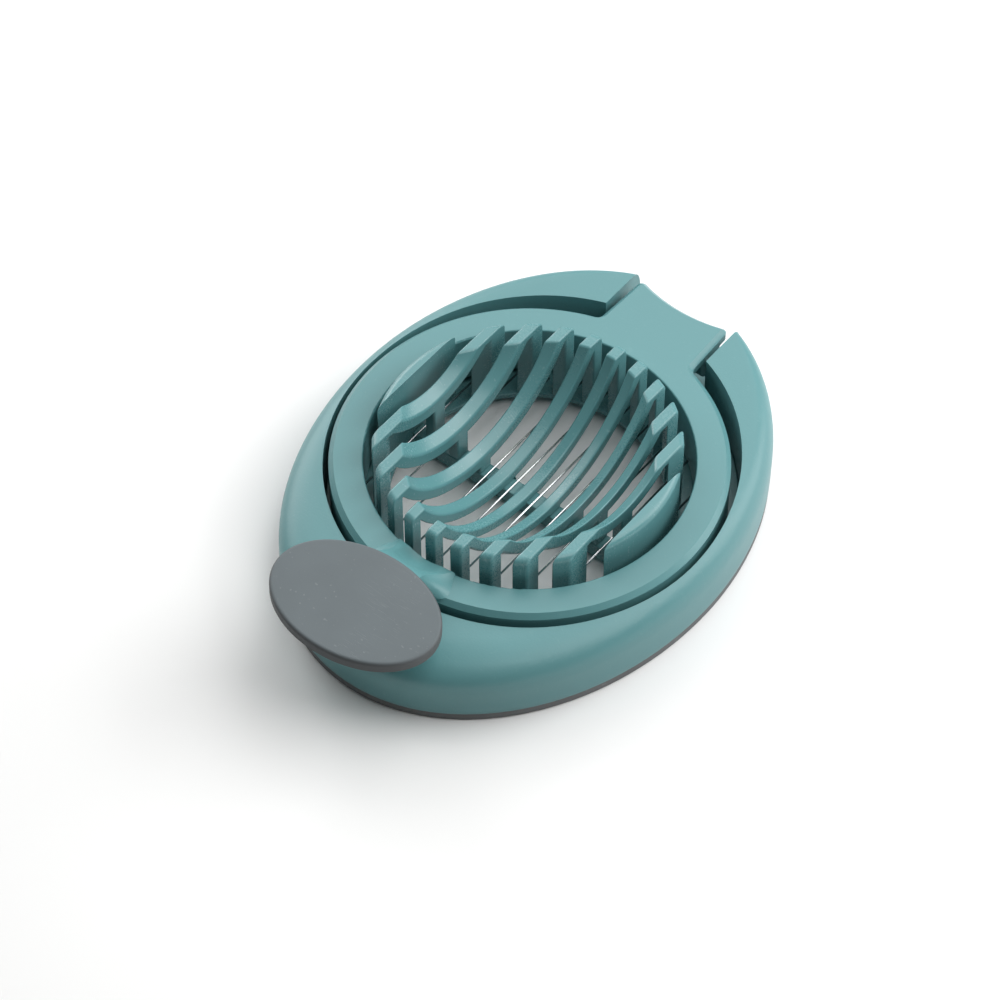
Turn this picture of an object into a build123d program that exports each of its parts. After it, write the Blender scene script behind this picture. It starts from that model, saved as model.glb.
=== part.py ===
from build123d import *
import math
import os

os.makedirs("parts", exist_ok=True)

# Egg slicer, in millimetres. The design is drawn about the middle of the cutter's ring, with the
# table at z = 0, the hinge towards +Y and the thumb pad towards -Y. Each piece is moved by
# row_shift when it is written, so the finished part is centred on its own length.

# Housing: the plan is two half-ellipses that meet where the shell is widest.
shell_half_width = 48.7
shell_front = 63.1  # from the ring's middle to the front tip
shell_tail = 11.2  # from the hinge axis to the back tip
shell_widest_y = 0.4
shell_wall = 2.6
shell_top = 18.2  # flat top around the hinge, level with the ring
bulge_height = 9.5  # where the side stands out furthest
dome_top = 17.06  # height of the sloping top at the ring's middle
dome_slope = 1.3  # degrees; the top falls towards the front
dome_fullness = 2.7  # 2 is a quarter-ellipse, more is boxier
dome_depth_front = 16.0  # how far the dome runs in over its whole height
dome_depth_side = 7.5
dome_depth_back = 2.8
tuck = 0.2  # how far the side tucks in at its foot

# Non-slip rim under the shell
foot_height = 2.2
foot_ledge = 2.1  # how far it reaches in under the cradle's floor
foot_round = 0.6

# Recess that the cutter closes into
recess_gap = 1.3  # between the ring and the recess wall
recess_stretch = 3.0  # the back half is an ellipse, longer than the ring by this
recess_wall = 2.4

# Cradle that holds the egg
floor_thickness = 1.4
floor_fit = 0.1
cradle_y = -0.7  # the cradle's middle, a little in front of the ring's
cradle_gap = 2.4  # between the outer ends of the ribs and the ring
post_depth = 3.2  # how far the end posts reach inwards
rib_count = 9
row_margin = 1.5  # how far the cradle reaches past the last wire's outer pitch
rib_thickness = 2.7
rib_top = 24.8
rib_round = 1.5
land_depth = 1.9  # solid part of a rib between its post and the bowl
bowl_axis_z = 41.0
bowl_radius = 33.8  # at the middle rib
bowl_crown = 24.0  # radius of the arc from rib to rib
bowl_flank = 38.0  # degrees; slope of the bowl under the outer ribs
bar_depth = 2.6  # thickness of a rib's curved bar
post_width = 3.9  # middle posts and the cross bar they stand on
cross_bar_bottom = 1.0
cross_bar_top = 5.2

# Cutter ring
side_margin = 4.7  # from the ring's outer edge to the shell's widest point
ring_width = 7.6
skirt_wall = 2.0
rim_wall = 1.8
ring_plate = 2.4
skirt_bottom = 5.2
rim_bottom = 8.2
ring_bevel = 1.1
ring_edge = 0.4

# Wires
wire_count = 10
wire_radius = 0.25
wire_rise = 1.6  # above the skirt's lower edge
wire_clearance = 0.05
ferrule_radius = 0.8
ferrule_length = 2.2
cover_floor = 0.7
cover_fit = 0.1

# Hinge
notch_half_width = 14.0
tongue_root_gap = 1.1  # between the tongue and the notch wall, at the ring
tongue_tip_gap = 1.8
tongue_reach = 6.7  # the end's corners are this far past the hinge
tongue_hollow = 2.1  # how far the end curves in
tongue_plate = 3.0
tongue_round = 1.2
tongue_fillet = 1.8
hinge_distance = 6.5  # from the ring's outer edge to the hinge axis
hinge_z = 12.0
pin_radius = 1.5
pin_clearance = 0.05
pin_engagement = 2.4
barrel_radius = 3.6
cheek_wall = 3.4
barrel_gap = 0.2  # end play on each side of the barrel
gusset_thickness = 1.8
gusset_offset = 8.0

# Neck and thumb pad
pad_half_width = 20.3
pad_half_length = 14.25
pad_gap = 0.8  # from the ring's outer edge to the pad's back edge
pad_top = 27.1
pad_thickness = 2.5
pad_skin = 1.3
pad_lip = 1.4  # width of the pad's rim round the paddle
pad_edge = 0.8
pad_tilt = 2.0  # front edge up
neck_half_width = 9.8  # where it stands on the ring
neck_waist = 5.7  # half width where it meets the pad
neck_ridge = 5.5  # half the distance between the ridges on top
neck_lip = 1.0  # how far the ridges stand up at the ring's inner edge
neck_rise = 4.7  # how far they stand up at the ring's outer edge
scoop_half_width = 11.0
scoop_radius = 8.6
scoop_inset = 1.6  # the scoop's middle is this far inside the ring
neck_depth = 3.6  # from the pad's underside down to the neck's, near the ring
neck_bite = 0.4  # how far the neck stands into the pad
neck_draft = 0.6  # how much narrower it is underneath

# Worked out from the sizes above
ring_outer = shell_half_width - side_margin
ring_inner = ring_outer - ring_width
recess_radius = ring_outer + recess_gap
recess_back = recess_radius + recess_stretch
cradle_radius = ring_inner - cradle_gap
rib_pitch = (cradle_radius - row_margin) * 2 / (rib_count + 1)
wire_height = skirt_bottom + wire_rise
hinge_y = ring_outer + hinge_distance
tongue_tip_y = hinge_y + tongue_reach
shell_back = hinge_y + shell_tail
foot_width = shell_half_width - recess_radius + foot_ledge
pad_middle = ring_outer + pad_gap + pad_half_length
ring_middle = (ring_inner + ring_outer) / 2
floor_top = foot_height + floor_thickness
cradle_inner = cradle_radius - post_depth
skirt_outer = ring_inner + skirt_wall
rim_inner = ring_outer - rim_wall
pad_bottom = pad_top - pad_thickness
reach_front = pad_middle + pad_half_length
row_shift = (reach_front - shell_back) / 2
spare = 10.0  # how far a cut runs on past what it cuts


def half_plans(half_width, front, back, widest_y):
    """Outline of two half-ellipses, as a face."""
    middle = (0, widest_y)
    near = EllipticalCenterArc(middle, half_width, front + widest_y, 180, arc_size=180)
    far = EllipticalCenterArc(middle, half_width, back - widest_y, 0, arc_size=180)
    return make_face(near + far)


def shell_plan(inset, share):
    """Outline of the shell; share is how far the dome has closed, 0 to 1."""
    return half_plans(
        shell_half_width - inset - dome_depth_side * share,
        shell_front - inset - dome_depth_front * share,
        shell_back - inset - dome_depth_back * share,
        shell_widest_y,
    )


def shell_section(z, inset, share):
    """The outline at height z, level at the foot and sloping more towards the top."""
    slope = dome_slope * (z - foot_height) / (dome_top - foot_height)
    return Pos(0, 0, z) * Rot(slope, 0, 0) * shell_plan(inset, share)


def dome(inset, top):
    """Body of the shell: sections up the side, then up a superellipse to the sloping top."""
    sections = [shell_section(foot_height, inset + tuck, 0)]
    sections.append(shell_section((foot_height + bulge_height) / 2, inset + tuck / 4, 0))
    for angle in (0, 8, 20, 35, 50, 63, 75, 84, 90):
        turn = math.radians(angle)
        share = 1 - math.cos(turn) ** (2 / dome_fullness)
        height = (top - bulge_height) * math.sin(turn) ** (2 / dome_fullness)
        sections.append(shell_section(bulge_height + height, inset, share))
    return loft(sections)


def slab(half_width, y_low, y_high, z_low, z_high):
    """Box that is symmetrical about the middle plane."""
    corner = (0, (y_low + y_high) / 2, (z_low + z_high) / 2)
    return Pos(*corner) * Box(2 * half_width, y_high - y_low, z_high - z_low)


def disc(radius, z_low, z_high, y=0):
    return Pos(0, y, (z_low + z_high) / 2) * Cylinder(radius, z_high - z_low)


def recess_block(grow, z_low, z_high):
    """The recess as a solid, made larger all round by grow."""
    front = recess_radius + grow
    plan = half_plans(front, front, recess_back + grow, 0)
    return extrude(Pos(0, 0, z_low) * plan, z_high - z_low)


def bowl(grow):
    """Egg bowl, turned about the axis across the ribs: a crowned middle and straight flanks."""
    flank = math.radians(bowl_flank)
    crown = bowl_crown + grow
    flank_x = crown * math.sin(flank)
    flank_radius = bowl_radius - bowl_crown + crown * math.cos(flank)
    tip_x = flank_x + flank_radius / math.tan(flank)
    middle = ThreePointArc((flank_x, flank_radius), (0, bowl_radius + grow), (-flank_x, flank_radius))
    flanks = Polyline((-flank_x, flank_radius), (-tip_x, 0), (tip_x, 0), (flank_x, flank_radius))
    return Pos(0, cradle_y, bowl_axis_z) * revolve(make_face(middle + flanks), Axis.X)


def wire_positions():
    first = -(wire_count - 1) / 2 * rib_pitch
    return [first + rib_pitch * i for i in range(wire_count)]


def rib_positions():
    first = -(rib_count - 1) / 2 * rib_pitch
    return [first + rib_pitch * i for i in range(rib_count)]


def along_x(radius, half_length, y, z):
    return Pos(0, y, z) * Rot(0, 90, 0) * Cylinder(radius, 2 * half_length)


def along_y(radius, length, x, y, z):
    return Pos(x, y, z) * Rot(90, 0, 0) * Cylinder(radius, length)


def base_shell():
    """Domed housing with the recess, its wall, the hinge notch and the notch's cheeks."""
    kept = recess_block(recess_wall, 0, shell_top)
    kept += slab(notch_half_width + cheek_wall, recess_radius - recess_wall, shell_back, 0, shell_top)
    shell = dome(0, dome_top) - (dome(shell_wall, dome_top - shell_wall) - kept)
    above = shell_top + spare
    shell -= slab(shell_half_width, -shell_front, shell_back + spare, shell_top, above)
    shell -= recess_block(0, 0, above)
    shell -= slab(notch_half_width, 0, shell_back + spare, floor_top, above)
    return shell - hinge_pin()


def foot_ring():
    outer = extrude(shell_plan(tuck, 0), foot_height)
    outer = fillet(outer.edges().sort_by(Axis.Z)[0:2], foot_round)
    return outer - extrude(shell_plan(foot_width, 0), foot_height)


def cradle_floor():
    plate = recess_block(-floor_fit, foot_height, floor_top)
    return plate - disc(cradle_inner, foot_height, floor_top, cradle_y)


def cradle_middle(half_length, z_low, z_high):
    """Strip along the cradle's middle, as wide as the middle posts."""
    return slab(half_length, cradle_y - post_width / 2, cradle_y + post_width / 2, z_low, z_high)


def cross_bar():
    """Bar that carries the middle posts; its ends lie over and under the floor's edge."""
    return cradle_middle(cross_bar_half_length(), cross_bar_bottom, cross_bar_top) - cradle_floor()


def cross_bar_half_length():
    """The bar ends where the faces of the end ribs begin."""
    return rib_positions()[-1] + rib_pitch - rib_thickness / 2


def drum():
    """Outer form of the cradle, rounded over at the top."""
    blank = disc(cradle_radius, floor_top, rib_top, cradle_y)
    return fillet(blank.edges().sort_by(Axis.Z)[-1], rib_round)


def cradle_blank():
    """Everything that the ribs are sliced from: the drum with the bowl and the spaces cut out."""
    below = disc(cradle_inner, 0, rib_top - land_depth, cradle_y) - bowl(bar_depth)
    below -= cradle_middle(cradle_inner, 0, rib_top)
    return drum() - bowl(0) - below - cradle_middle(cross_bar_half_length(), 0, cross_bar_top)


def slice_block(half_width):
    """Block that takes in the whole cradle from front to back."""
    return slab(half_width, -2 * cradle_radius, 2 * cradle_radius, 0, 2 * rib_top)


def rib(blank, x):
    return blank & (Pos(x, 0, 0) * slice_block(rib_thickness / 2))


def end_rib(side):
    """Crescent at the end of the row, with the whole of the drum's wall behind it."""
    middle = side * (cross_bar_half_length() + cradle_radius)
    return drum() & (Pos(middle, 0, 0) * slice_block(cradle_radius))


def ring_section():
    """Cross-section of the ring: top plate, deep inner skirt and shorter outer rim."""
    corners = [
        (ring_inner, skirt_bottom),
        (skirt_outer, skirt_bottom),
        (skirt_outer, shell_top - ring_plate),
        (rim_inner, shell_top - ring_plate),
        (rim_inner, rim_bottom),
        (ring_outer, rim_bottom),
        (ring_outer, shell_top),
        (ring_inner, shell_top),
    ]
    section = make_face(Polyline(*corners, close=True))
    outer_corner = section.vertices().sort_by_distance((ring_outer, shell_top))[0]
    section = chamfer(outer_corner, ring_bevel)
    inner_corner = section.vertices().sort_by_distance((ring_inner, shell_top))[0]
    return Plane.XZ * fillet(inner_corner, ring_edge)


def tongue():
    """Hinge tongue: tapered plate with a hollow end, its corners rounded where it leaves the ring."""
    root_x = notch_half_width - tongue_root_gap
    tip_x = notch_half_width - tongue_tip_gap
    root_y = ring_middle
    left_tip = (-tip_x, tongue_tip_y)
    right_tip = (tip_x, tongue_tip_y)
    sides = Polyline(left_tip, (-root_x, root_y), (root_x, root_y), right_tip)
    end = ThreePointArc(right_tip, (0, tongue_tip_y - tongue_hollow), left_tip)
    plan = make_face(sides + end)
    plan = fillet(plan.vertices().group_by(Axis.Y)[-1], tongue_round)
    plan = Circle(ring_outer) + plan
    roots = [v for v in plan.vertices() if ring_inner < v.Y < ring_outer]
    plan = fillet(roots, tongue_fillet)
    plate = extrude(Pos(0, 0, shell_top - tongue_plate) * plan, tongue_plate)
    plate = chamfer(plate.faces().sort_by(Axis.Z)[-1].edges(), ring_bevel)
    reach = root_x + 2 * tongue_fillet
    plate &= slab(reach, ring_inner / 2, tongue_tip_y + spare, 0, shell_top)
    return plate - disc(ring_middle, 0, shell_top)


def barrel():
    """Barrel under the tongue, with the web and gussets that tie it to the plate and the ring."""
    half = notch_half_width - tongue_tip_gap - barrel_gap
    body = along_x(barrel_radius, half, hinge_y, hinge_z)
    under = shell_top - tongue_plate
    body += slab(half, hinge_y - barrel_radius, hinge_y + barrel_radius, hinge_z, under)
    for x in (-gusset_offset, 0, gusset_offset):
        plate = slab(gusset_thickness / 2, rim_inner, hinge_y, hinge_z - barrel_radius, under)
        body += Pos(x, 0, 0) * plate
    return body - disc(skirt_outer, 0, shell_top)


def neck_station(y, low, low_half, foot, foot_half, top, top_half):
    """Six-sided cross-section of the neck, upright at y."""
    corners = [(-low_half, low), (low_half, low), (foot_half, foot), (top_half, top)]
    corners += [(-top_half, top), (-foot_half, foot)]
    return Plane(origin=(0, y, 0), x_dir=(1, 0, 0), z_dir=(0, -1, 0)) * make_face(
        Polyline(*corners, close=True)
    )


def paddle_frame():
    """Middle of the pad's upper face, tilted."""
    return Pos(0, -pad_middle, pad_top) * Rot(-pad_tilt, 0, 0)


def neck():
    """Flared neck from the ring up to the paddle: two ridges on top, with a scoop between them."""
    plate = shell_top - ring_plate / 2
    wide = neck_half_width
    lip = shell_top + neck_lip
    shoulder = shell_top + neck_rise
    tip = pad_middle - pad_half_length
    under = pad_bottom - neck_depth
    seat = pad_bottom + neck_bite
    narrow = neck_waist - neck_draft
    root = -ring_inner + ring_plate
    middle = -ring_middle + ring_edge
    outside = -ring_outer + skirt_wall
    half_way = (lip + shoulder) / 2
    crest = wide - 2 * neck_lip
    waist = neck_waist
    belly = under + neck_lip
    keel = pad_bottom - neck_lip
    stations = [
        neck_station(root, plate, wide, shell_top, wide, lip, crest),
        neck_station(middle, plate, wide, shell_top, wide, half_way, neck_ridge + ring_edge),
        neck_station(outside, plate, wide, shell_top, wide, shoulder, neck_ridge),
        neck_station(-tip, plate, waist, lip, waist + neck_draft, seat, waist),
        neck_station(-tip - neck_depth, under, narrow, belly, narrow, seat, waist),
        neck_station(-tip - 2 * neck_depth, keel, narrow, pad_bottom, narrow, seat, narrow),
    ]
    return loft(stations) - scoop() - disc(ring_inner, 0, rib_top)


def scoop():
    """Ellipsoid that hollows the neck's top, lowest at the ring's inner edge."""
    arc = EllipticalCenterArc((0, 0), scoop_half_width, scoop_radius, 0, arc_size=180)
    base = Line((-scoop_half_width, 0), (scoop_half_width, 0))
    centre = Pos(0, scoop_inset - ring_inner, shell_top + scoop_radius)
    return centre * revolve(make_face(arc + base), Axis.X)


def pad_blank(inset, z_low, z_high):
    """Oval slab in the pad's own frame, between two heights."""
    plan = Pos(0, 0, z_low) * Ellipse(pad_half_width - inset, pad_half_length - inset)
    return extrude(plan, z_high - z_low)


def paddle():
    return paddle_frame() * pad_blank(pad_lip, -pad_thickness, -pad_skin)


def thumb_pad():
    blank = pad_blank(0, -pad_thickness, 0)
    blank = fillet(blank.edges().sort_by(Axis.Z)[-1], pad_edge)
    blank -= pad_blank(pad_lip, -pad_thickness, -pad_skin)
    return (paddle_frame() * blank) - neck()


def cutter_frame():
    """Ring, hinge tongue and barrel, neck and paddle, in one moulding."""
    frame = revolve(ring_section(), Axis.Z) + tongue() + barrel()
    frame += neck() + paddle()
    frame -= along_x(pin_radius + pin_clearance, notch_half_width, hinge_y, hinge_z)
    for x in wire_positions():
        frame -= along_y(wire_radius + wire_clearance, 2 * ring_middle, x, 0, wire_height)
    return frame


def wire_cover():
    """L-shaped ring that closes the underside of the cutter ring over the ferrules."""
    inner = skirt_outer + cover_fit
    corners = [
        (inner, skirt_bottom),
        (ring_outer, skirt_bottom),
        (ring_outer, rim_bottom),
        (rim_inner, rim_bottom),
        (rim_inner, skirt_bottom + cover_floor),
        (inner, skirt_bottom + cover_floor),
    ]
    return revolve(Plane.XZ * make_face(Polyline(*corners, close=True)), Axis.Z)


def ferrule_start(x):
    """Where a ferrule begins, just clear of the skirt's outer face."""
    near = abs(x) - ferrule_radius
    return math.sqrt(skirt_outer**2 - near**2)


def cutting_wire(x):
    """Straight wire that runs through the skirt and both of its ferrules."""
    return along_y(wire_radius, 2 * (ferrule_start(x) + ferrule_length), x, 0, wire_height)


def ferrules(side):
    """Crimped beads that hold the wires' ends, outside the skirt on one side."""
    beads = []
    for x in wire_positions():
        middle = side * (ferrule_start(x) + ferrule_length / 2)
        bead = along_y(ferrule_radius, ferrule_length, x, middle, wire_height)
        beads.append(bead - along_y(wire_radius, ferrule_length, x, middle, wire_height))
    return Compound(children=beads)


def hinge_pin():
    return along_x(pin_radius, notch_half_width + pin_engagement, hinge_y, hinge_z)


def write(shape, node):
    export_step(Pos(0, row_shift, 0) * shape, "parts/" + node + ".step")


write(base_shell(), "base_shell")
write(foot_ring(), "foot_ring")
write(cradle_floor(), "cradle_floor")
write(cross_bar(), "cross_bar")
blank = cradle_blank()
for number, x in enumerate(rib_positions(), start=1):
    write(rib(blank, x), f"rib_{number}")
write(end_rib(-1), "end_rib_left")
write(end_rib(1), "end_rib_right")
write(hinge_pin(), "hinge_pin")
write(cutter_frame(), "cutter_frame")
write(wire_cover(), "wire_cover")
for number, x in enumerate(wire_positions(), start=1):
    write(cutting_wire(x), f"cutting_wire_{number:02d}")
write(ferrules(-1), "wire_ferrules_front")
write(ferrules(1), "wire_ferrules_back")
write(thumb_pad(), "thumb_pad")
print("overall length", round(reach_front + shell_back, 2), "row shift", round(row_shift, 3))
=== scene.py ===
import math

import bmesh
import bpy
from mathutils import Matrix, Vector


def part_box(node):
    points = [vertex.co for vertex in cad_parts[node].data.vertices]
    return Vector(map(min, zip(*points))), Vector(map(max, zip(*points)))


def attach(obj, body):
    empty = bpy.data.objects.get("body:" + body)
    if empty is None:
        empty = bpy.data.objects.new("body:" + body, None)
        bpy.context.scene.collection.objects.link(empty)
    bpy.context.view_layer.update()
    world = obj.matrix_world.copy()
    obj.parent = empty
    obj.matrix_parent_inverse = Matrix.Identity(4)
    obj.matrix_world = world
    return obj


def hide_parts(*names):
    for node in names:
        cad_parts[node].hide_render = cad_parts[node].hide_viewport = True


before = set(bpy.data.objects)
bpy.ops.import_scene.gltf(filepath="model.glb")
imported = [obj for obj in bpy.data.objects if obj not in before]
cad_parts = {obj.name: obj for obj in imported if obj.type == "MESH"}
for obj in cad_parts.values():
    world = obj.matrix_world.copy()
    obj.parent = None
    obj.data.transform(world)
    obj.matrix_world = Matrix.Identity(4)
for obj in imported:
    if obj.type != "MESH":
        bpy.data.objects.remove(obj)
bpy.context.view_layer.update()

millimetre = 0.001
weldGap = 0.002 * millimetre  # corners nearer than this are one corner
ruledGap = 0.01 * millimetre
scene = bpy.context.scene
print("frame loaded:", len(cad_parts), "nodes")


# a shader socket that can be added, multiplied and compared
class Strand:
    def __init__(self, finish, socket):
        self.finish = finish
        self.socket = socket

    def sum(self, operation, first, second):
        return self.finish.node("ShaderNodeMath", {"operation": operation}, {0: first, 1: second})

    def __add__(self, other):
        return self.sum("ADD", self, other)

    def __radd__(self, other):
        return self.sum("ADD", other, self)

    def __sub__(self, other):
        return self.sum("SUBTRACT", self, other)

    def __rsub__(self, other):
        return self.sum("SUBTRACT", other, self)

    def __mul__(self, other):
        return self.sum("MULTIPLY", self, other)

    def __rmul__(self, other):
        return self.sum("MULTIPLY", other, self)

    def between(self, low, high):  # 0 at low, 1 at high, smooth in between
        settings = {"interpolation_type": "SMOOTHSTEP"}
        sockets = {"Value": self, "From Min": low, "From Max": high}
        return self.finish.node("ShaderNodeMapRange", settings, sockets)


class Finish:
    def __init__(self, name):
        self.material = bpy.data.materials.new(name)
        self.material.use_nodes = True
        self.tree = self.material.node_tree
        self.tree.nodes.clear()
        self.place = self.node("ShaderNodeTexCoord", out="Object")

    def node(self, kind, settings=None, sockets=None, out=0):
        made = self.tree.nodes.new(kind)
        for key, value in (settings or {}).items():
            setattr(made, key, value)
        for key, value in (sockets or {}).items():
            if isinstance(value, Strand):
                self.tree.links.new(value.socket, made.inputs[key])
            else:
                made.inputs[key].default_value = value
        return None if out is None else Strand(self, made.outputs[out])

    def stretched(self, turn, scale):  # the object's own coordinates, turned and stretched
        sockets = {"Vector": self.place, "Rotation": turn, "Scale": scale}
        return self.node("ShaderNodeMapping", None, sockets)

    def noise(self, scale, detail=2.0, rough=0.5, warp=0.0, place=None):
        sockets = {"Vector": place or self.place, "Scale": scale, "Detail": detail}
        sockets.update({"Roughness": rough, "Distortion": warp})
        return self.node("ShaderNodeTexNoise", {"noise_dimensions": "3D"}, sockets)

    def mixed(self, share, first, second):
        sockets = {0: share, 6: first, 7: second}
        return self.node("ShaderNodeMix", {"data_type": "RGBA"}, sockets, out=2)

    def relief(self, height, depth, under=None):
        sockets = {"Height": height, "Distance": depth, "Strength": 1.0}
        if under is not None:
            sockets["Normal"] = under
        return self.node("ShaderNodeBump", None, sockets)

    def scratches(self, scale, turn, thin, length=14.0):  # sparse hairlines along one direction
        lines = self.noise(scale, 1.0, 0.4, 0.15, self.stretched((0, 0, turn), (1.0, length, 1.0)))
        patches = self.noise(scale / 5, 1.0)
        return lines.between(thin, thin + 0.02) * patches.between(0.56, 0.66)

    def done(self, sockets):
        shader = self.node("ShaderNodeBsdfPrincipled", None, sockets, out="BSDF")
        self.node("ShaderNodeOutputMaterial", None, {"Surface": shader}, out=None)
        return self.material


def shade(colour, factor):
    return (colour[0] * factor, colour[1] * factor, colour[2] * factor, 1.0)


# linear colours of the plastic, and of its scuffs
teal = (0.098, 0.250, 0.262)
tealPale = (0.330, 0.480, 0.490)

# grain is a noise scale, depth its height in millimetres; the others are amounts from 0 to 1
plasticLooks = {
    "shell": {
        "grain": 2000.0, "depth": 0.020, "rough": 0.40, "spread": 0.08, "scuff": 0.10, "tone": 0.05
    },
    "ring": {
        "grain": 3200.0, "depth": 0.006, "rough": 0.33, "spread": 0.07, "scuff": 0.10, "tone": 0.04
    },
    "cradle": {
        "grain": 2400.0, "depth": 0.003, "rough": 0.27, "spread": 0.10, "scuff": 0.45, "tone": 0.06
    },
}

# noise scales that all the plastic shares, and its slow waviness in millimetres
plasticScales = {
    "cloud": 38.0,
    "flow": 11.0,
    "rub": 300.0,
    "speck": 1500.0,
    "hairlines": (520.0, 430.0),
    "wave": 60.0,
    "waveDepth": 0.012,
    "bending": 1.49,
}


def plastic(name, look):
    scales = plasticScales
    finish = Finish(name)
    grain = finish.noise(look["grain"], 2.0, 0.6)
    cloud = finish.noise(scales["cloud"], 3.0, 0.55)
    flow = finish.noise(scales["flow"], 1.0)
    rub = finish.noise(scales["rub"], 5.0, 0.7, 0.4)
    first, second = scales["hairlines"]
    lines = finish.scratches(first, 0.7, 0.66) + finish.scratches(second, -0.5, 0.67)
    marks = rub.between(0.62, 0.78) * cloud.between(0.48, 0.66)
    tone = (cloud - 0.5) * look["tone"] * 2 + (flow - 0.5) * look["tone"]
    body = finish.mixed((tone + 0.5).between(0.30, 0.70), shade(teal, 0.90), shade(teal, 1.10))
    speck = finish.noise(scales["speck"], 0.0).between(0.76, 0.80)
    wear = (marks + lines * 0.5 + speck * 0.4) * look["scuff"]
    worn = finish.mixed(wear, body, shade(tealPale, 1.0))
    uneven = (cloud - 0.5) * look["spread"] + (grain - 0.5) * look["spread"] * 0.5
    rough = uneven + marks * 0.10 + look["rough"]
    normal = finish.relief(grain, look["depth"] * millimetre)
    wave = finish.noise(scales["wave"], 2.0)
    normal = finish.relief(wave, scales["waveDepth"] * millimetre, normal)
    sockets = {"Base Color": worn, "Roughness": rough, "Normal": normal}
    sockets["IOR"] = scales["bending"]
    return finish.done(sockets)


rubberLook = {
    "pad": (0.116, 0.137, 0.146),
    "padSideShade": (0.085, 0.093, 0.097),
    # painted shade: a darker colour for the pad's sides, standing in for the shade that falls on them
    "foot": (0.120, 0.124, 0.126),
    "pale": (0.34, 0.36, 0.37),
    "padGrain": 3400.0,
    "padRough": 0.60,
    "padSheen": 0.28,
    "footGrain": 2600.0,
    "footRough": 0.62,
    "bending": 1.45,
}


def rubberPad():
    finish = Finish("softGreyPad")
    fine = finish.noise(rubberLook["padGrain"], 3.0, 0.6)
    cloud = finish.noise(55.0, 3.0)
    normalOf = finish.node("ShaderNodeNewGeometry", out="Normal")
    facing = finish.node("ShaderNodeSeparateXYZ", None, {0: normalOf}, out="Z")
    top = facing.between(0.55, 0.95)
    lines = finish.scratches(230.0, 0.25, 0.655, 22.0) + finish.scratches(260.0, 1.15, 0.665, 22.0)
    specks = finish.noise(1300.0, 0.0).between(0.79, 0.83)
    specks = specks + finish.noise(2300.0, 1.0).between(0.77, 0.80)
    pad = rubberLook["pad"]
    body = finish.mixed(cloud.between(0.3, 0.7), shade(pad, 0.95), shade(pad, 1.05))
    # painted shade: faces that turn away from the top are painted darker than the top
    body = finish.mixed(top, shade(rubberLook["padSideShade"], 1.0), body)
    marks = (lines * 0.14 + specks * 0.16) * top
    body = finish.mixed(marks, body, shade(rubberLook["pale"], 1.0))
    uneven = (cloud - 0.5) * 0.10 + (fine - 0.5) * 0.10
    rough = uneven + rubberLook["padRough"] - lines * 0.08
    normal = finish.relief(fine, 0.010 * millimetre)
    normal = finish.relief(lines, -0.015 * millimetre, normal)
    sockets = {"Base Color": body, "Roughness": rough, "Normal": normal}
    sockets.update({"IOR": rubberLook["bending"], "Specular IOR Level": rubberLook["padSheen"]})
    return finish.done(sockets)


def rubberFoot():
    finish = Finish("footRubber")
    fine = finish.noise(rubberLook["footGrain"], 3.0, 0.6)
    cloud = finish.noise(70.0, 3.0)
    foot = rubberLook["foot"]
    body = finish.mixed(cloud.between(0.3, 0.7), shade(foot, 0.92), shade(foot, 1.08))
    dust = finish.noise(900.0, 2.0).between(0.66, 0.76) * cloud.between(0.45, 0.6)
    body = finish.mixed(dust * 0.25, body, shade(rubberLook["pale"], 1.0))
    rough = (fine - 0.5) * 0.12 + rubberLook["footRough"]
    normal = finish.relief(fine, 0.018 * millimetre)
    sockets = {"Base Color": body, "Roughness": rough, "Normal": normal}
    sockets["IOR"] = rubberLook["bending"]
    return finish.done(sockets)


steelLook = {
    "dark": (0.60, 0.61, 0.62, 1),
    "light": (0.72, 0.73, 0.74, 1),
    "drawn": 9000.0,
    "rough": 0.24,
}


def brushedSteel(name, along):
    # drawing marks run along the piece
    finish = Finish(name)
    drawn = finish.noise(steelLook["drawn"], 2.0, 0.5, 0.0, finish.stretched((0, 0, 0), along))
    cloud = finish.noise(160.0, 2.0)
    body = finish.mixed(cloud.between(0.35, 0.65), steelLook["dark"], steelLook["light"])
    rough = (drawn - 0.5) * 0.14 + steelLook["rough"]
    normal = finish.relief(drawn, 0.002 * millimetre)
    return finish.done({"Base Color": body, "Roughness": rough, "Normal": normal, "Metallic": 1.0})


shellPlastic = plastic("satinTealShell", plasticLooks["shell"])
ringPlastic = plastic("smoothTealCutter", plasticLooks["ring"])
cradlePlastic = plastic("glossTealCradle", plasticLooks["cradle"])
padRubber = rubberPad()
footRubber = rubberFoot()
wireSteel = brushedSteel("drawnWire", (1.0, 0.02, 1.0))
pinSteel = brushedSteel("pinSteel", (0.02, 1.0, 1.0))
print("finishes made")


def smoothAll(mesh, degrees):
    mesh.polygons.foreach_set("use_smooth", [True] * len(mesh.polygons))
    mesh.set_sharp_from_angle(angle=math.radians(degrees))


def mergedCopy(node, flatness):
    # the node's mesh with its corners joined and its flat faces whole
    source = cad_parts[node].data
    mesh = bpy.data.meshes.new(node + "Moulded")
    corners = [corner.co[:] for corner in source.vertices]
    mesh.from_pydata(corners, [], [face.vertices[:] for face in source.polygons])
    work = bmesh.new()
    work.from_mesh(mesh)
    bmesh.ops.remove_doubles(work, verts=work.verts, dist=weldGap)
    bmesh.ops.dissolve_degenerate(work, edges=work.edges, dist=weldGap)
    if flatness:
        angle = math.radians(flatness)
        bmesh.ops.dissolve_limit(work, verts=work.verts, edges=work.edges, angle_limit=angle)
    work.to_mesh(mesh)
    work.free()
    return mesh


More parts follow.
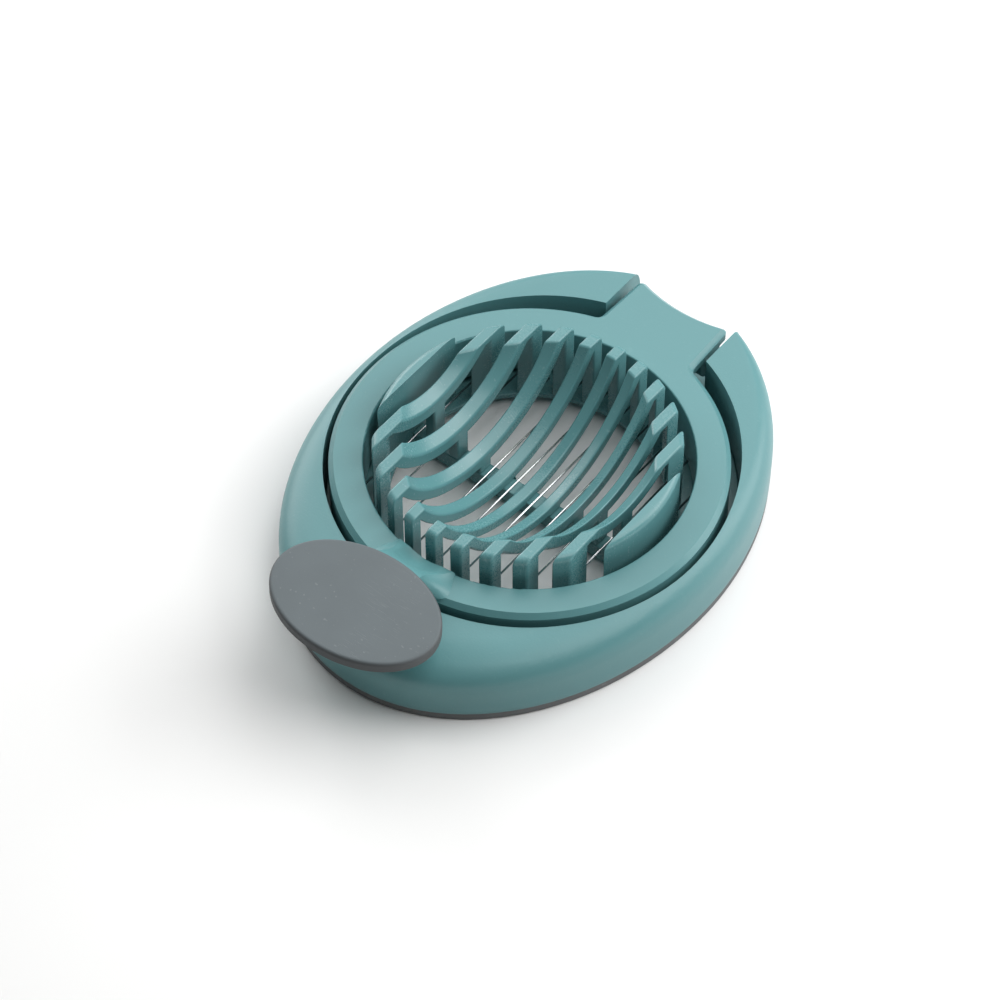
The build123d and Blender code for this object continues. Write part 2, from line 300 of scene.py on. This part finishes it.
def finished(node, mesh, body, material, look):
    # a moulding with rounded edges that stands for a CAD node
    smoothAll(mesh, look["sharp"])
    mesh.materials.append(material)
    piece = bpy.data.objects.new(node + "Moulded", mesh)
    scene.collection.objects.link(piece)
    soft = piece.modifiers.new("softEdges", "BEVEL")
    soft.width = look["edge"] * millimetre
    soft.segments = look["segments"]
    soft.limit_method = "ANGLE"
    soft.angle_limit = math.radians(look["sharp"])
    soft.use_clamp_overlap = look["clamp"]
    soft.miter_outer = "MITER_SHARP"
    even = piece.modifiers.new("evenLight", "WEIGHTED_NORMAL")
    even.keep_sharp = True
    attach(piece, body)
    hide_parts(node)
    return piece


def moulded(node, body, material, look):
    return finished(node, mergedCopy(node, look["flatness"]), body, material, look)


mouldLooks = {
    "rib": {"sharp": 30, "edge": 0.42, "segments": 3, "clamp": False},
    "endRib": {"sharp": 30, "edge": 0.35, "segments": 3, "clamp": True},
    "plate": {"flatness": 0.6, "sharp": 30, "edge": 0.22, "segments": 2, "clamp": True},
    "cutter": {"flatness": 0.3, "sharp": 30, "edge": 0.16, "segments": 2, "clamp": True},
    "shell": {"flatness": 0.2, "sharp": 35, "edge": 0.30, "segments": 3, "clamp": True},
}

# sizes in millimetres; the cradle's own middle is the middle of the centre rib
cradleLook = {
    "drumRadius": 34.0,
    "drumRound": 1.5,
    "innerRadius": 30.8,
    "foot": 3.6,
    "top": 24.8,
    "underLand": 22.9,
    "bowlAxis": 41.0,
    "bowlRadius": 33.8,
    "bowlCrown": 24.0,
    "bowlFlank": 38.0,
    "barDepth": 2.6,
    "postHalf": 1.95,
    "postFoot": 5.2,
    "roundSteps": 5,
    "bowlSteps": 26,
    "underSteps": 12,
    "endSteps": 12,
}


def bowlReach(x, grow, look):
    # the bowl's radius about its axis at a distance x from the middle
    flank = math.radians(look["bowlFlank"])
    crown = look["bowlCrown"] + grow
    turnX = crown * math.sin(flank)
    base = look["bowlRadius"] - look["bowlCrown"]
    if abs(x) < turnX:
        return base + math.sqrt(crown**2 - x**2)
    return base + crown * math.cos(flank) - (abs(x) - turnX) * math.tan(flank)


def ribOutline(x, look):
    # half of a rib's outline at x, from the bowl's lowest point round to the middle post
    axis, top = look["bowlAxis"], look["top"]
    reach = bowlReach(x, 0.0, look)
    lipAngle = math.acos((axis - top) / reach)
    half = []
    for step in range(look["bowlSteps"] // 2 + 1):
        turn = lipAngle * step / (look["bowlSteps"] // 2)
        half.append((reach * math.sin(turn), axis - reach * math.cos(turn)))
    for step in range(look["roundSteps"] + 1):
        turn = math.pi / 2 * (1 - step / look["roundSteps"])
        radius = look["drumRadius"] - look["drumRound"] * (1 - math.cos(turn))
        height = top - look["drumRound"] * (1 - math.sin(turn))
        half.append((math.sqrt(radius**2 - x**2), height))
    half.append((math.sqrt(look["drumRadius"] ** 2 - x**2), look["foot"]))
    inner = math.sqrt(look["innerRadius"] ** 2 - x**2)
    under = bowlReach(x, look["barDepth"], look)
    half.append((inner, look["foot"]))
    land = math.sqrt(max(under**2 - (axis - look["underLand"]) ** 2, 0.0))
    if land < inner:
        half.append((inner, look["underLand"]))
        start = math.acos((axis - look["underLand"]) / under)
    else:
        start = math.asin(inner / under)
        half.append((inner, (axis - under * math.cos(start) + look["foot"]) / 2))
    end = math.asin(look["postHalf"] / under)
    for step in range(look["underSteps"] + 1):
        turn = start + (end - start) * step / look["underSteps"]
        half.append((under * math.sin(turn), axis - under * math.cos(turn)))
    half.append((look["postHalf"], look["postFoot"]))
    return half


def ribMesh(node, look):
    low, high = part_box(node)
    middle = (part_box("rib_5")[0].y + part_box("rib_5")[1].y) / 2
    rings = []
    for x in (low.x, high.x):
        half = ribOutline(x / millimetre, look)
        mirrored = [(-y, z) for y, z in reversed(half[1:])]
        outline = half + mirrored
        rings.append([Vector((x, middle + y * millimetre, z * millimetre)) for y, z in outline])
    count = len(rings[0])
    faces = [list(range(count)), list(range(count, 2 * count))]
    for i in range(count):
        j = (i + 1) % count
        faces.append([i, j, count + j, count + i])
    return closedMesh(node, rings[0] + rings[1], faces)


def endRibMesh(node, look):
    # crescent between the drum's wall and a flat face, rounded over at the top
    low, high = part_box(node)
    side = 1 if high.x > 0 else -1
    flat = min(abs(low.x), abs(high.x)) / millimetre
    middle = (low.y + high.y) / 2
    levels = [(look["drumRadius"], look["foot"])]
    for step in range(look["roundSteps"] + 1):
        turn = math.pi / 2 * step / look["roundSteps"]
        radius = look["drumRadius"] - look["drumRound"] * (1 - math.cos(turn))
        levels.append((radius, look["top"] - look["drumRound"] * (1 - math.sin(turn))))
    points, faces = [], []
    steps = look["endSteps"]
    for radius, height in levels:
        spread = math.acos(flat / radius)
        for step in range(steps + 1):
            turn = spread * (2 * step / steps - 1)
            x, y = side * radius * math.cos(turn), radius * math.sin(turn)
            points.append(Vector((x * millimetre, middle + y * millimetre, height * millimetre)))
    ring = steps + 1
    for level in range(len(levels) - 1):
        for i in range(ring):
            j = (i + 1) % ring
            here, above = level * ring, (level + 1) * ring
            faces.append([here + i, here + j, above + j, above + i])
    faces.append(list(range(ring)))
    faces.append(list(range((len(levels) - 1) * ring, len(levels) * ring)))
    return closedMesh(node, points, faces)


def closedMesh(node, points, faces):
    mesh = bpy.data.meshes.new(node + "Moulded")
    mesh.from_pydata(points, [], faces)
    work = bmesh.new()
    work.from_mesh(mesh)
    bmesh.ops.remove_doubles(work, verts=work.verts, dist=ruledGap)
    bmesh.ops.recalc_face_normals(work, faces=work.faces)
    work.to_mesh(mesh)
    work.free()
    return mesh


ribNames = [f"rib_{number}" for number in range(1, 10)]
for name in ribNames:
    mesh = ribMesh(name, cradleLook)
    finished(name, mesh, "base", cradlePlastic, mouldLooks["rib"])
for name in ("end_rib_left", "end_rib_right"):
    mesh = endRibMesh(name, cradleLook)
    finished(name, mesh, "base", cradlePlastic, mouldLooks["endRib"])
print("ribs made:", len(ribNames), "and two ends")
moulded("cross_bar", "base", cradlePlastic, mouldLooks["plate"])
moulded("cradle_floor", "base", cradlePlastic, mouldLooks["plate"])
moulded("base_shell", "base", shellPlastic, mouldLooks["shell"])
moulded("cutter_frame", "cutter", ringPlastic, mouldLooks["cutter"])
print("mouldings made")


def dress(node, material):
    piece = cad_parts[node]
    for place in piece.material_slots:
        place.link = "OBJECT"
        place.material = material


dress("foot_ring", footRubber)
dress("thumb_pad", padRubber)
dress("wire_cover", ringPlastic)
dress("hinge_pin", pinSteel)


# one row of straight wires, each as long as its chord of the ring
wireNames = [name for name in sorted(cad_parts) if name.startswith("cutting_wire_")]
wireBoxes = [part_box(name) for name in wireNames]
wireLook = {
    "count": len(wireNames),
    "radius": (wireBoxes[0][1].z - wireBoxes[0][0].z) / 2,
    "height": (wireBoxes[0][1].z + wireBoxes[0][0].z) / 2,
    "first": (wireBoxes[0][0].x + wireBoxes[0][1].x) / 2,
    "last": (wireBoxes[-1][0].x + wireBoxes[-1][1].x) / 2,
    "middle": (wireBoxes[0][0].y + wireBoxes[0][1].y) / 2,
    "outerReach": (wireBoxes[0][1].y - wireBoxes[0][0].y) / 2,
    "innerReach": (wireBoxes[4][1].y - wireBoxes[4][0].y) / 2,
    "sides": 16,
}


class Tree:
    # a Geometry Nodes tree with named inputs, built node by node
    def __init__(self, name, inputs):
        self.group = bpy.data.node_groups.new(name, "GeometryNodeTree")
        self.group.is_modifier = True
        self.group.interface.new_socket("Geometry", in_out="INPUT", socket_type="NodeSocketGeometry")
        self.identifiers = {}
        for label, value in inputs.items():
            kind = "NodeSocketInt" if isinstance(value, int) else "NodeSocketFloat"
            made = self.group.interface.new_socket(label, in_out="INPUT", socket_type=kind)
            self.identifiers[label] = made.identifier
        self.group.interface.new_socket("Geometry", in_out="OUTPUT", socket_type="NodeSocketGeometry")
        self.start = self.group.nodes.new("NodeGroupInput")
        self.end = self.group.nodes.new("NodeGroupOutput")

    def size(self, label):
        return self.start.outputs[label]

    def node(self, kind, settings=None, sockets=None, out=0):
        made = self.group.nodes.new(kind)
        for key, value in (settings or {}).items():
            setattr(made, key, value)
        for key, value in (sockets or {}).items():
            if isinstance(value, bpy.types.NodeSocket):
                self.group.links.new(value, made.inputs[key])
            else:
                made.inputs[key].default_value = value
        return made.outputs[out]

    def maths(self, operation, first, second=0.0):
        return self.node("ShaderNodeMath", {"operation": operation}, {0: first, 1: second})

    def baked(self, name, geometry, material, sizes):
        # realised, given its finish, and turned into a plain mesh
        whole = self.node("GeometryNodeRealizeInstances", None, {"Geometry": geometry})
        dressed = self.node("GeometryNodeSetMaterial", None, {"Geometry": whole, "Material": material})
        self.group.links.new(dressed, self.end.inputs[0])
        holder = bpy.data.objects.new(name + "Seed", bpy.data.meshes.new(name + "Seed"))
        scene.collection.objects.link(holder)
        modifier = holder.modifiers.new("row", "NODES")
        modifier.node_group = self.group
        for label, value in sizes.items():
            modifier[self.identifiers[label]] = value
        graph = bpy.context.evaluated_depsgraph_get()
        graph.update()
        mesh = bpy.data.meshes.new_from_object(holder.evaluated_get(graph))
        bpy.data.objects.remove(holder)
        mesh.name = name
        if not mesh.materials:
            mesh.materials.append(material)
        piece = bpy.data.objects.new(name, mesh)
        scene.collection.objects.link(piece)
        return piece


def wireRow(look):
    # wire i stands at x = first + i * pitch and is a chord long
    tree = Tree("wireRow", look)
    index = tree.node("GeometryNodeInputIndex")
    steps = tree.maths("SUBTRACT", tree.size("count"), 1.0)
    pitch = tree.maths("DIVIDE", tree.maths("SUBTRACT", tree.size("last"), tree.size("first")), steps)
    across = tree.maths("ADD", tree.size("first"), tree.maths("MULTIPLY", index, pitch))
    sockets = {0: across, 1: tree.size("middle"), 2: tree.size("height")}
    spot = tree.node("ShaderNodeCombineXYZ", None, sockets)
    sockets = {"Count": tree.size("count"), "Position": spot}
    spots = tree.node("GeometryNodePoints", None, sockets)
    # a chord's half length from its distance to the middle: sqrt(ring^2 - x^2) + end
    square = tree.maths("MULTIPLY", across, across)
    ring = tree.maths("MULTIPLY", tree.size("ring"), tree.size("ring"))
    chord = tree.maths("SQRT", tree.maths("SUBTRACT", ring, square))
    reach = tree.maths("ADD", chord, tree.size("end"))
    wire = tree.node(
        "GeometryNodeMeshCylinder",
        {"fill_type": "NGON"},
        {"Vertices": tree.size("sides"), "Radius": tree.size("radius"), "Depth": 2.0},
    )
    wire = tree.node("GeometryNodeSetShadeSmooth", None, {"Geometry": wire})
    laid = tree.node("ShaderNodeCombineXYZ", None, {0: math.pi / 2, 1: 0.0, 2: 0.0})
    scale = tree.node("ShaderNodeCombineXYZ", None, {0: 1.0, 1: 1.0, 2: reach})
    row = tree.node(
        "GeometryNodeInstanceOnPoints",
        None,
        {"Points": spots, "Instance": wire, "Rotation": laid, "Scale": scale},
    )
    return tree, row


def chordRing(look):
    # the ring whose chords, with a fixed end added, are as long as the wires
    long, short = look.pop("innerReach"), look.pop("outerReach")
    # the innermost and outermost wires' distances to the middle
    near, far = look["last"] / (look["count"] - 1), look["last"]
    low, high = 0.0, short
    halvings = 60
    for _ in range(halvings):
        end = (low + high) / 2
        ring = math.hypot(long - end, near)
        if math.sqrt(max(ring * ring - far * far, 0.0)) + end > short:
            high = end
        else:
            low = end
    look["ring"], look["end"] = ring, end
    return look


chordRing(wireLook)
wireTree, wireInstances = wireRow(wireLook)
wires = wireTree.baked("cuttingWires", wireInstances, wireSteel, wireLook)
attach(wires, "cutter")
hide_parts(*wireNames)
print("wires made:", len(wires.data.polygons), "faces")

for node in ("wire_ferrules_front", "wire_ferrules_back"):
    dress(node, wireSteel)


floorLook = {"size": 2.4, "tone": 0.86, "rough": 0.75}


def paleFloor():
    finish = Finish("paleFloor")
    cloud = finish.noise(3.0, 2.0)
    tone = floorLook["tone"]
    warm = (tone * 1.01, tone * 1.01, tone, 1)
    body = finish.mixed(cloud.between(0.3, 0.7), (tone, tone, tone, 1), warm)
    return finish.done({"Base Color": body, "Roughness": floorLook["rough"]})


half = floorLook["size"] / 2
floorMesh = bpy.data.meshes.new("floor")
corners = [(-half, -half, 0), (half, -half, 0), (half, half, 0), (-half, half, 0)]
floorMesh.from_pydata(corners, [], [(0, 1, 2, 3)])
floorMesh.materials.append(paleFloor())
floor = bpy.data.objects.new("floor", floorMesh)
scene.collection.objects.link(floor)

# the room lights the object softly and shows as a pale backdrop behind the floor
roomLook = {"tone": (0.97, 0.99, 1.0, 1.0), "fill": 0.10, "backdrop": 0.93}
world = bpy.data.worlds.new("studio")
scene.world = world
world.use_nodes = True
room = world.node_tree
fill = room.nodes["Background"]
fill.inputs["Color"].default_value = roomLook["tone"]
fill.inputs["Strength"].default_value = roomLook["fill"]
backdrop = room.nodes.new("ShaderNodeBackground")
backdrop.inputs["Color"].default_value = (1.0, 1.0, 1.0, 1.0)
backdrop.inputs["Strength"].default_value = roomLook["backdrop"]
chosen = room.nodes.new("ShaderNodeMixShader")
path = room.nodes.new("ShaderNodeLightPath")
room.links.new(path.outputs["Is Camera Ray"], chosen.inputs[0])
room.links.new(fill.outputs[0], chosen.inputs[1])
room.links.new(backdrop.outputs[0], chosen.inputs[2])
room.links.new(chosen.outputs[0], room.nodes["World Output"].inputs["Surface"])
scene.view_settings.view_transform = "Standard"

viewAngle = {
    "azimuth": 38.34,
    "elevation": 51.35,
    "distance": 0.8,
    "across": -0.00649,
    "along": 0.00168,
    "lens": 129.6,
    "sensor": 36.0,
    "reach": 20.0,
}
azimuth = math.radians(viewAngle["azimuth"])
elevation = math.radians(viewAngle["elevation"])


def direction(turn, rise):  # unit vector at a turn about the vertical and a height, in radians
    return Vector((math.sin(turn) * math.cos(rise), -math.cos(turn) * math.cos(rise), math.sin(rise)))


backward = direction(azimuth, elevation)
rightward = Vector((math.cos(azimuth), math.sin(azimuth), 0))
upward = backward.cross(rightward)

# turn is counted from the first view's azimuth, height from the floor, both in degrees
softboxes = {
    "back": {
        "turn": 180.0, "height": 46.0, "distance": 1.5, "width": 1.5, "depth": 1.0, "power": 9.5
    },
    "left": {
        "turn": -142.0, "height": 24.0, "distance": 1.0, "width": 0.8, "depth": 0.6, "power": 6.6
    },
    "right": {
        "turn": 104.0, "height": 26.0, "distance": 1.0, "width": 0.8, "depth": 0.6, "power": 6.0
    },
    "top": {
        "turn": 84.0, "height": 62.0, "distance": 0.42, "width": 0.40, "depth": 0.40, "power": 1.5
    },
}
for name, box in softboxes.items():
    turn = azimuth + math.radians(box["turn"])
    towards = direction(turn, math.radians(box["height"]))
    lamp = bpy.data.lights.new(name + "Softbox", "AREA")
    lamp.shape = "RECTANGLE"
    lamp.size = box["width"]
    lamp.size_y = box["depth"]
    lamp.energy = box["power"]
    holder = bpy.data.objects.new(name + "Softbox", lamp)
    holder.location = towards * box["distance"]
    holder.rotation_euler = towards.to_track_quat("Z", "Y").to_euler()
    scene.collection.objects.link(holder)

# the camera looks at the middle of the cutter's ring
target = Vector((0.0, wireLook["middle"], 0.0))
lens = bpy.data.cameras.new("camera")
lens.sensor_width = viewAngle["sensor"]
lens.lens = viewAngle["lens"]
lens.clip_end = viewAngle["reach"]
camera = bpy.data.objects.new("camera", lens)
scene.collection.objects.link(camera)
spot = Matrix((rightward, upward, backward)).transposed().to_4x4()
place = target + backward * viewAngle["distance"]
place = place + rightward * viewAngle["across"] + upward * viewAngle["along"]
spot.translation = place
camera.matrix_world = spot
scene.camera = camera
print("floor, lights and camera made")
